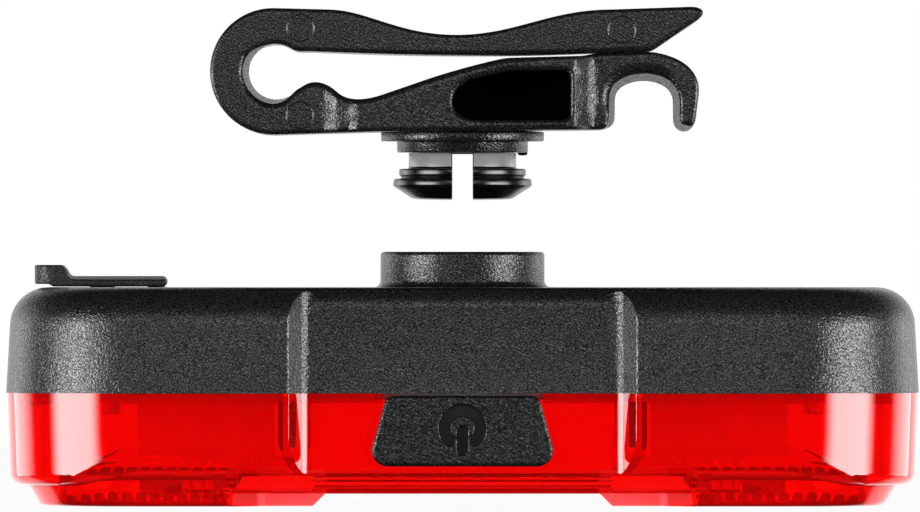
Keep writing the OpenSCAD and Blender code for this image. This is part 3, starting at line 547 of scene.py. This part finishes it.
class Shell:
    """Collects vertices and faces in millimetres, with a finish for each face."""

    def __init__(self):
        self.verts, self.faces, self.kinds = [], [], []

    def ring(self, points):
        start = len(self.verts)
        self.verts += points
        return list(range(start, len(self.verts)))

    def add(self, faces, kind=0):
        self.faces += faces
        self.kinds += [kind] * len(faces)

    def strip(self, a, b, kind=0, closed=True):
        first = 0 if closed else 1
        self.add([(a[i - 1], a[i], b[i], b[i - 1]) for i in range(first, len(a))], kind)

    def lathe(self, profile, middle=(0, 0), count=72, kind=0):
        """Turns a profile of (radius, height) about an upright axis."""
        turns = [2 * math.pi * i / count for i in range(count)]
        rings = []
        for radius, height in profile:
            flat = [(middle[0] + radius * math.cos(a), middle[1] + radius * math.sin(a)) for a in turns]
            rings.append(self.ring([(x, y, height) for x, y in flat]))
        for a, b in zip(rings, rings[1:]):
            self.strip(a, b, kind)

    def moulding(self, outline, reach, edge, end, holes=(), sides=(-1, 1), step=0.9,
                 draft=None, lean=0):
        """An outline whose face lies at a reach from the middle plane, with a rounded edge and holes.

        The wall runs from the edge to the outline at the distance end. Draft is how far it leans back at
        the edge, and lean is the finish of the part that leans. A hole is (outline, edge, floor, finish of
        its inside).
        """
        outer = self.wall(outline, edge, -1, reach, end, draft)
        pits = [self.wall(hole, lambda p, r=r: r, 1, reach, floor) for hole, r, floor, _ in holes]
        face, triangles = filled([p for p, _ in outer[0]], [[p for p, _ in pit[0]] for pit in pits], step)
        floors = [filled(hole, [], step) for hole, _, _, _ in holes]
        for side in sides:
            def put(points):
                return self.ring([(p.x, side * y, p.y) for p, y in points])

            made = put([(p, reach(p)) for p in face])
            self.add([tuple(made[i] for i in triangle) for triangle in triangles])
            for rings, kind in [(outer, 0)] + [(pit, hole[3]) for pit, hole in zip(pits, holes)]:
                made = [put(ring) for ring in rings]
                for k, (a, b) in enumerate(zip(made, made[1:])):
                    self.strip(a, b, kind if k >= len(EDGE_TURNS) else 0)
                if lean and rings is outer:
                    self.kinds[-len(outline):] = [lean if draft(p) > LEAN_LEAST else 0 for p in outline]
            for (points, triangles_below), (_, _, floor, kind) in zip(floors, holes):
                made = put([(p, floor) for p in points])
                self.add([tuple(made[i] for i in triangle) for triangle in triangles_below], kind)

    @staticmethod
    def wall(outline, edge, out, reach, end, draft=None):
        """Rings of (point, distance from the middle plane) from a face over a rounded edge to a depth."""
        rings = []
        radii = [edge(p) for p in outline]
        front = offset(outline, [out * draft(p) for p in outline]) if draft else outline
        for turn in (-1, *EDGE_TURNS):
            a = math.radians(max(turn, 0))
            margin = EDGE_MARGIN if turn < 0 else 0
            ring = offset(front, [out * (r * (1 - math.sin(a)) + margin) for r in radii])
            rings.append([(p, reach(p) - r * (1 - math.cos(a))) for p, r in zip(ring, radii)])
        rings.append([(p, reach(p) - r - EDGE_MARGIN) for p, r in zip(front, radii)])
        rings.append([(p, end) for p in outline])
        return rings

    def piece(self, name, lift, finishes, bevel=0, cuts=()):
        """The mesh as an object in metres, with its doubles merged and its faces turned outwards.

        Its faces are split across X at each of the cuts.
        """
        mesh = bpy.data.meshes.new(name)
        mesh.from_pydata([(x * MM, y * MM, (z + lift) * MM) for x, y, z in self.verts], [], self.faces)
        mesh.polygons.foreach_set("material_index", self.kinds)
        work = bmesh.new()
        work.from_mesh(mesh)
        bmesh.ops.remove_doubles(work, verts=work.verts, dist=MERGE * MM)
        bmesh.ops.recalc_face_normals(work, faces=work.faces)
        if bevel:
            sharp = [e for e in work.edges if e.is_manifold and e.calc_face_angle() > SHARP]
            bmesh.ops.bevel(work, geom=sharp, offset=bevel * MM, segments=3, profile=0.5,
                            affect="EDGES")
        for x in cuts:
            whole = work.verts[:] + work.edges[:] + work.faces[:]
            bmesh.ops.bisect_plane(work, geom=whole, plane_co=(x * MM, 0, 0), plane_no=(1, 0, 0))
        for face in work.faces:
            face.smooth = True
        for edge in work.edges:
            edge.smooth = not edge.is_manifold or edge.calc_face_angle() < SHARP
        work.to_mesh(mesh)
        work.free()
        rest = mesh.attributes.new(REST_PLACE, "FLOAT_VECTOR", "POINT")
        rest.data.foreach_set("vector", [c for v in mesh.vertices for c in v.co])
        for finish in finishes:
            mesh.materials.append(finish)
        piece = bpy.data.objects.new(name, mesh)
        scene.collection.objects.link(piece)
        return piece


# Housing: its middle block gets rounded upper edges

BLOCK_FACE, BLOCK_TOP, BLOCK_ROUND = 17.33, 21.75, 2.0
BLOCK_HALF, BLOCK_FADE = 14.0, 15.8
KEPT_NORMAL = "kept_normal"
ROUND_TURNS = (0, 7, 14, 21, 28, 35, 41)


def block_cuts():
    """Planes of (point, normal) that give the rounded edges their points."""
    cuts = [(Vector((side * BLOCK_HALF, 0, 0)), Vector((1, 0, 0))) for side in (-1, 1)]
    for turn in ROUND_TURNS:
        off = BLOCK_ROUND * (math.tan(math.radians(turn)) - 1)
        cuts.append((Vector((0, 0, BLOCK_TOP + off)), Vector((0, 0, 1))))
        cuts += [(Vector((0, side * (BLOCK_FACE + off), 0)), Vector((0, 1, 0))) for side in (-1, 1)]
    return cuts


def round_block(work, normals):
    """Moves what lies outside the rounded edges onto them, and turns its normals."""
    for vert in work.verts:
        x, y, z = vert.co / MM
        side = math.copysign(1, y)
        away = Vector((side * y - BLOCK_FACE + BLOCK_ROUND, z - BLOCK_TOP + BLOCK_ROUND))
        share = 1 - ramp(abs(x), BLOCK_HALF, BLOCK_FADE)
        if min(away) < 0 or away.length <= BLOCK_ROUND or not share:
            continue
        moved = away.lerp(away.normalized() * BLOCK_ROUND, share) - away
        vert.co += Vector((0, side * moved.x, moved.y)) * MM
        for loop in vert.link_loops:
            loop[normals] = Vector((0, side * away.x, away.y)) if share == 1 else Vector()


def add_housing(finish):
    mesh = nodes["rear_housing"].data.copy()
    kept = mesh.attributes.new(KEPT_NORMAL, "FLOAT_VECTOR", "CORNER")
    kept.data.foreach_set("vector", [c for normal in mesh.corner_normals for c in normal.vector])
    work = bmesh.new()
    work.from_mesh(mesh)
    for point, normal in block_cuts():
        near = []
        for face in work.faces:
            spots = [v.co / MM for v in face.verts]
            high = max(p.z for p in spots) > BLOCK_TOP - BLOCK_ROUND
            front = max(abs(p.y) for p in spots) > BLOCK_FACE - BLOCK_ROUND
            if high and front and min(abs(p.x) for p in spots) < BLOCK_FADE:
                near.append(face)
        parts = {e for f in near for e in f.edges} | {v for f in near for v in f.verts} | set(near)
        bmesh.ops.bisect_plane(work, geom=list(parts), plane_co=point * MM, plane_no=normal,
                               dist=MERGE * MM)
    round_block(work, work.loops.layers.float_vector[KEPT_NORMAL])
    work.to_mesh(mesh)
    work.free()
    kept = mesh.attributes[KEPT_NORMAL]
    mesh.normals_split_custom_set([n.vector.normalized() for n in kept.data])
    mesh.attributes.remove(mesh.attributes[KEPT_NORMAL])
    mesh.materials.clear()
    mesh.materials.append(finish)
    piece = bpy.data.objects.new("housing_shell", mesh)
    scene.collection.objects.link(piece)
    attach(piece, "light")
    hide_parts("rear_housing")


# Clip: one moulding that stands for the base and the arm

CLIP_Z = 36.3
CLIP_EDGE = 0.45
LOOP_MIDDLE = Vector((-18.85, 6.96))
LOOP_R, HOLE_R = 6.32, 2.76
HOLE_MIDDLE = LOOP_MIDDLE + Vector((0.24, 0))
ARM_HALF, BASE_HALF, HOOK_HALF = 8.5, 10.0, 7.5
POCKET_FLOOR = 2.0
SPLIT_LOW, SPLIT_SLOPE, SPLIT_HALF = 8.366, 0.033, 0.02
WIDENS = ((0.6, (-14.1, -12.1)), (0.4, (-11.5, -10.4)))
NARROWS = (11.0, 13.2)
ARM_START = -14
UPPER_EDGE, UPPER_EDGE_X, UPPER_EDGE_Z = 0.25, ((-22.6, -22.2), (11, 13)), ((3.2, 3.6), (8.3, 8.45))
HOOK_EDGE, HOOK_EDGE_X, HOOK_EDGE_Z = 0.75, ((14.5, 15.6), (19.6, 20.9)), ((2.6, 3.8), (6.2, 6.9))
LOOP_DRAFT, LOOP_DRAFT_R = 0.5, (3.1, 4.1)
LOOP_DRAFT_WAY, LOOP_DRAFT_RISE = Vector((-0.9, -0.5)), (-0.8, 1.8)
HOOK_DRAFT, HOOK_DRAFT_X, HOOK_DRAFT_Z = 0.6, ((14.0, 15.2), (22.3, 23.3)), (6.2, 6.9)
FLANGE_PROFILE = [(4.15, 1.2), (4.15, -1.09), (6.35, -1.09), (6.48, -1.05), (6.55, -0.95),
                  (6.55, -0.1), (6.6, 0.0), (6.7, 0.03), (7.98, 0.03), (8.09, 0.06), (8.15, 0.14),
                  (8.15, 0.84), (8.1, 0.94), (7.98, 0.98), (4.15, 1.2)]
NUB_PROFILE = [(0, -0.8), (0.45, -0.8), (0.5, -0.9), (0.5, -1.2), (0.4, -1.34), (0, -1.39)]
NUB_MIDDLE = (6.0, 0)


def clip_outline():
    """Clockwise from the loop's far left over the arm and back along the base."""
    arm = arc(LOOP_MIDDLE, LOOP_R, 180, 92) + wave((-13.4, 13.13), (-0.6, 10.6), 0.3, 0.46)
    arm += wave((-0.6, 10.6), (14.8, 13.13), 0.38, 0.4)
    arm += points_of((23.3, 13.42), (24.15, 13.0), (23.85, 12.36), (18.9, 9.02))
    arm += curve((13.3, 8.87), (4, 8.48), (-4, 8.48), (-15, 8.97)) + arc(HOLE_MIDDLE, HOLE_R, 46, 180)
    base = arc(LOOP_MIDDLE, LOOP_R, 180, 270) + points_of((-8.3, 0.96))
    base += quarter((13.83, 1.16), (15.23, 1.16), (15.23, 2.2))
    base += quarter((15.23, 4.4), (15.23, 6.08), (18.13, 6.08))
    base += quarter((18.13, 6.08), (21.03, 6.08), (21.03, 4.2)) + arc((22.13, 2.05), 1.1, 180, 360)
    base += curve((23.6, 5), (23.6, 7.2), (21.8, 8.47), (18.9, 8.92))
    base += points_of((13.3, 8.77), (11.9, 8.5))
    base += curve((4.4, 8.3), (3.0, 8.07), (-0.8, 7.08), (-3.2, 6.28))
    base += curve((-7.8, 4.7), (-9.6, 4.05), (-11.2, 3.95), (-12.3, 4.7))
    base += curve((-12.3, 4.7), (-13.5, 6.1), (-15.3, 6.3), (-16.1, 5.3))
    base += arc(HOLE_MIDDLE, HOLE_R, -37, -180)
    return softened(resampled(arm + base[::-1], OUTLINE_STEP), 4)


def pocket_outline():
    """The cored pocket, clockwise."""
    points = curve((1.2, 2.12), (-1.7, 2.12), (-1.7, 5.2), (0.7, 6.1))
    points += points_of((4.7, 7.06), (10.73, 7.06), (10.73, 2.12))
    return softened(resampled(points, OUTLINE_STEP), 8)


def clip_reach(p):
    """Half width of the clip at a point; the base is wider than the loop, the arm and the hook."""
    if p.y > SPLIT_LOW + SPLIT_SLOPE * p.x and p.x > ARM_START:
        return ARM_HALF
    wide = ARM_HALF + (BASE_HALF - ARM_HALF) * sum(share * ramp(p.x, *rise) for share, rise in WIDENS)
    return wide - (BASE_HALF - HOOK_HALF) * ramp(p.x, *NARROWS)


def clip_edge(p):
    """Radius of the clip's edge, larger along the base's upper side, in the loop and in the hook."""
    upper = between(p.x, *UPPER_EDGE_X) * between(p.y, *UPPER_EDGE_Z)
    hook = between(p.x, *HOOK_EDGE_X) * between(p.y, *HOOK_EDGE_Z)
    return CLIP_EDGE + UPPER_EDGE * upper + HOOK_EDGE * hook


def clip_draft(p):
    """The walls lean in the hook, where a strap runs, and on the lower left of the loop's hole."""
    away = p - HOLE_MIDDLE
    loop = (1 - ramp(away.length, *LOOP_DRAFT_R)) * ramp(away.dot(LOOP_DRAFT_WAY), *LOOP_DRAFT_RISE)
    hook = between(p.x, *HOOK_DRAFT_X) * (1 - ramp(p.y, *HOOK_DRAFT_Z))
    return LOOP_DRAFT * loop + HOOK_DRAFT * hook


def add_clip(finish, pocket_shade_finish, wall_finish):
    shell = Shell()
    # The pocket's inside and the nub take the second finish, a near-black one: painted shade in the recess and
    # on the nub.
    pocket = (pocket_outline(), CLIP_EDGE, POCKET_FLOOR, 1)
    shell.moulding(clip_outline(), clip_reach, clip_edge, 0, [pocket], draft=clip_draft, lean=2)
    shell.lathe(FLANGE_PROFILE)
    shell.lathe(NUB_PROFILE, NUB_MIDDLE, 20, 1)
    piece = shell.piece("clip_moulding", CLIP_Z, [finish, pocket_shade_finish, wall_finish])
    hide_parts("clip_base", "clip_arm")
    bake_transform(piece)


# Snap stud: two legs on a pin

SLOT_HALF, LEG_FOOT = 1.02, -2.65
STUD_STEPS, STUD_BEVEL = 48, 0.1
STUD_PROFILE = [(1.1, -5.84), (3.2, -5.82), (4.6, -5.75), (5.05, -5.66), (5.35, -5.47), (6.45, -4.76),
                (6.76, -4.56), (6.92, -4.4), (6.95, -4.28), (6.9, -3.86), (6.86, -3.76), (6.75, -3.7),
                (6.25, -3.68), (6.14, -3.62), (6.14, -3.52), (6.25, -3.42), (6.33, -3.34),
                (6.35, -3.22), (6.35, -2.86), (6.32, -2.76), (6.22, -2.71), (5.5, -2.7), (5.38, -2.6),
                (5.38, -1.2), (5.3, -1.13), (1.1, -1.13)]
PIN_PROFILE = [(0, -1.24), (3.9, -1.24), (4.0, -1.16), (4.0, 1.36), (3.86, 1.5), (0, 1.5)]


def add_stud(finish, leg_sheen_finish):
    shell = Shell()
    for side in (-1, 1):
        rings = []
        for radius, height in STUD_PROFILE:
            widest = math.acos(SLOT_HALF / radius)
            turns = [widest * (2 * i / STUD_STEPS - 1) for i in range(STUD_STEPS + 1)]
            flat = [(side * radius * math.cos(a), radius * math.sin(a)) for a in turns]
            rings.append(shell.ring([(x, y, height) for x, y in flat]))
        # The legs above their foot take the second finish, a lighter grey: painted highlight.
        for a, b, (_, height) in zip(rings, rings[1:], STUD_PROFILE):
            shell.strip(a, b, int(height > LEG_FOOT), closed=False)
            shell.add([(a[0], b[0], b[-1], a[-1])])
        shell.add([tuple(rings[0]), tuple(rings[-1])])
    shell.lathe(PIN_PROFILE, count=STUD_STEPS)
    piece = shell.piece("stud_moulding", CLIP_Z, [finish, leg_sheen_finish], bevel=STUD_BEVEL)
    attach(piece, "stud")
    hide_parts("snap_stud")


# Charging flap: one rubber strip from its anchor to the pull tab

FLAP_TIP, FLAP_END, FLAP_HINGE = -42.7, -29.55, -31.9
FLAP_LOW, FLAP_TOP, TAB_TOP, TAB_LOW = 21.82, 22.87, 23.98, 22.08
FLAP_CROWN, CROWN_X, CROWN_Z = 0.33, (-39.6, -38.8), (22.5, 22.8)
FLAP_STEP, FLAP_FILL, FLAP_BEVEL = 0.12, 0.5, 0.08
TAB_LENGTH, TAB_FOOT, TAB_UNDER = 2.75, -39.0, (-40.9, -41.2)
ANCHOR_INSET, ANCHOR_FADE = 0.5, 0.2
FLAP_HALF, FLAP_CORNER, FLAP_EDGE = 5.5, 1.8, 0.2
SOCKET_X, PLUG_LENGTH, PLUG_HALF, PLUG_LOW, PLUG_SUNK = -36.0, 2.4, 3.6, 20.95, 0.3
FLAP_BEND, BEND_CUTS = 0.25, 4
ANCHOR_X = -30.6
ANCHOR_PROFILE = [(0, 19.3), (0.8, 19.3), (1.0, 19.8), (0.85, 19.85), (0.85, 22), (0, 22)]


def flap_outline():
    points = points_of((FLAP_TIP, TAB_LOW), (FLAP_TIP, TAB_TOP), (FLAP_TIP + TAB_LENGTH, TAB_TOP))
    points += points_of((TAB_FOOT, FLAP_TOP))
    points += quarter((FLAP_END - 0.3, FLAP_TOP), (FLAP_END, FLAP_TOP), (FLAP_END, 22.4))
    points += quarter((FLAP_END, 22.3), (FLAP_END, FLAP_LOW), (FLAP_END - 0.4, FLAP_LOW))
    points += points_of((TAB_UNDER[0], FLAP_LOW), (TAB_UNDER[1], TAB_LOW))
    return softened(resampled(points, FLAP_STEP), 3)


def flap_reach(p):
    """Half width of the flap, less at its anchor and where its corners are rounded in plan."""
    lack = max(FLAP_CORNER - (p.x - FLAP_TIP), 0)
    corner = FLAP_CORNER - math.sqrt(max(FLAP_CORNER ** 2 - lack ** 2, 0))
    held = ramp(p.x, FLAP_HINGE - ANCHOR_FADE, FLAP_HINGE + ANCHOR_FADE)
    return FLAP_HALF - corner - ANCHOR_INSET * held


def flap_crown(p):
    """How far the flap's side leans back along its upper edge."""
    return FLAP_CROWN * ramp(p.x, *CROWN_X) * ramp(p.y, *CROWN_Z)


def add_flap(finish):
    shell = Shell()
    shell.moulding(flap_outline(), flap_reach, lambda p: FLAP_EDGE, 0, step=FLAP_FILL, draft=flap_crown)
    corners = ((-1, -1), (1, -1), (1, 1), (-1, 1))
    plug = [(SOCKET_X + i * PLUG_LENGTH / 2, k * PLUG_HALF) for i, k in corners]
    low, high = (shell.ring([(x, y, z) for x, y in plug]) for z in (PLUG_LOW, FLAP_LOW + PLUG_SUNK))
    shell.strip(low, high)
    shell.add([tuple(low), tuple(high)])
    shell.lathe(ANCHOR_PROFILE, (ANCHOR_X, 0), 32)
    bends = [FLAP_HINGE + FLAP_BEND * k / BEND_CUTS for k in range(-BEND_CUTS, BEND_CUTS + 1)]
    piece = shell.piece("flap_moulding", 0, [finish], bevel=FLAP_BEVEL, cuts=bends)
    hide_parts("usb_flap", "flap_anchor")
    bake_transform(piece)


# Reflectors: a plate with a field of domed pins under each end of the lens

PIN_PITCH, PIN_R, PIN_MARGIN, PIN_SIDES = 1.33, 0.47, 0.1, 10
PIN_DOME = [(1, 0.3), (0.8, 0.12), (0.4, 0.03), (0, 0)]
PLATE_TOP, PLATE_CORNER = 0.85, 7.4


def add_reflector(node, side, finish):
    """Built for the right end and turned over for the left one."""
    low, high = ([c / MM for c in corner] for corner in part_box(node))
    inner, outer = sorted(abs(x) for x in (low[0], high[0]))
    half, corner = high[1], PLATE_CORNER
    plan = points_of((inner, -half)) + arc((outer - corner, corner - half), corner, -90, 0, 24)
    plan += arc((outer - corner, half - corner), corner, 0, 90, 24) + points_of((inner, half))
    room = offset(plan[::-1], [-PIN_R] * len(plan))
    shell = Shell()
    foot, top = (shell.ring([(side * p.x, p.y, z) for p in plan]) for z in (low[2], PLATE_TOP))
    shell.strip(foot, top)
    shell.add([tuple(foot), tuple(top)])
    pin = [(PIN_R, PLATE_TOP)] + [(share * PIN_R, high[2] - drop) for share, drop in PIN_DOME]
    for i in range(int((outer - inner) / PIN_PITCH)):
        for k in range(-int(half / PIN_PITCH), int(half / PIN_PITCH) + 1):
            spot = Vector((inner + PIN_R + PIN_MARGIN + i * PIN_PITCH, k * PIN_PITCH))
            if inside(spot, room):
                shell.lathe(pin, (side * spot.x, spot.y), PIN_SIDES)
    piece = shell.piece(node + "_pins", 0, [finish])
    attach(piece, "light")
    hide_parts(node)


# Button: a rubber cap with the power symbol sunk into its face

BUTTON_TOP, BUTTON_FOOT = (7.8, 11.0), (9.0, 4.0)
TOP_R, FOOT_R, SIDE_TURN = 1.0, 1.6, 16
SYMBOL_MIDDLE, SYMBOL_OUTER, SYMBOL_INNER = Vector((0, 7.8)), 2.34, 1.2
SYMBOL_DEPTH, SYMBOL_EDGE, BUTTON_EDGE = 0.5, 0.14, 0.35
SYMBOL_TURNS, SYMBOL_STEP = (-45, 225), 0.16
BAR_HALF, BAR_TOP, BAR_FOOT = 0.55, Vector((0, -0.3)), Vector((0, -2.15))
BUTTON_FILL, BACK_FILL = 0.6, 0.9


def button_outline():
    """Rounded trapezoid, clockwise."""
    (top_x, top_z), (foot_x, foot_z) = BUTTON_TOP, BUTTON_FOOT
    right = arc((top_x - TOP_R, top_z - TOP_R), TOP_R, 90, SIDE_TURN)
    right += arc((foot_x - FOOT_R, foot_z + FOOT_R), FOOT_R, SIDE_TURN, -90)
    return resampled(right + [Vector((-p.x, p.y)) for p in right[::-1]], OUTLINE_STEP)


def symbol_outlines():
    """An open ring with round ends, and a bar with round ends, both clockwise."""
    mean, half = (SYMBOL_OUTER + SYMBOL_INNER) / 2, (SYMBOL_OUTER - SYMBOL_INNER) / 2
    first, last = SYMBOL_TURNS
    turn = math.radians(first)
    right_end = SYMBOL_MIDDLE + mean * Vector((math.cos(turn), math.sin(turn)))
    left_end = Vector((-right_end.x, right_end.y))
    ring = arc(SYMBOL_MIDDLE, SYMBOL_OUTER, last, first) + arc(right_end, half, first, first - 180, 12)
    ring += arc(SYMBOL_MIDDLE, SYMBOL_INNER, first, last) + arc(left_end, half, last - 180, last - 360, 12)
    bar = arc(SYMBOL_MIDDLE + BAR_TOP, BAR_HALF, 180, 0, 12)
    bar += arc(SYMBOL_MIDDLE + BAR_FOOT, BAR_HALF, 0, -180, 12)
    return resampled(ring, SYMBOL_STEP), resampled(bar, SYMBOL_STEP)


def add_button(finish, symbol_shade_finish):
    face, back = (-corner.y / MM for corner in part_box("button_cap"))
    floor = face - SYMBOL_DEPTH
    shell = Shell()
    outline = button_outline()
    # The symbol's recess takes the second finish, a darker black: painted shade.
    holes = [(hole, SYMBOL_EDGE, floor, 1) for hole in symbol_outlines()]
    shell.moulding(outline, lambda p: face, lambda p: BUTTON_EDGE, back, holes, sides=(-1,),
                   step=BUTTON_FILL)
    points, triangles = filled(outline, [], BACK_FILL)
    made = shell.ring([(p.x, -back, p.y) for p in points])
    shell.add([tuple(made[i] for i in triangle) for triangle in triangles])
    piece = shell.piece("button_moulding", 0, [finish, symbol_shade_finish])
    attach(piece, "button")
    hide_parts("button_cap")


add_camera()
add_world()
for name, softbox in SOFTBOXES.items():
    softbox.add(name)
add_floor()
finishes = dress_nodes()
# A near-black, dull finish for the clip's pocket and nub: painted shade.
clip_painted_shade = plain("clip_painted_shade", (0.0012, 0.0012, 0.0012), 0.85, specular_ior_level=0.05)
clip_wall = grained_plastic("clip_wall", CLIP_BLACK, 0.3, CLIP_GRAIN, GRAIN_DEPTH, gloss=(0.0, 0.1),
                            sticks=True)
add_clip(finishes["clip_plastic"], clip_painted_shade, clip_wall)
# The legs' lighter grey stands for the light on them: painted highlight.
add_stud(finishes["stud_plastic"], plain("stud_leg_painted_sheen", (0.2, 0.2, 0.205), 0.3))
add_housing(finishes["housing_plastic"])
add_flap(finishes["flap_rubber"])
# The sunk symbol gets a darker, duller black than the cap: painted shade in the recess.
symbol_painted_shade = plain("symbol_painted_shade", (0.002, 0.002, 0.002), 0.5, specular_ior_level=0.3)
add_button(finishes["button_rubber"], symbol_painted_shade)
add_reflector("left_reflector", -1, finishes["prism_red"])
add_reflector("right_reflector", 1, finishes["prism_red"])
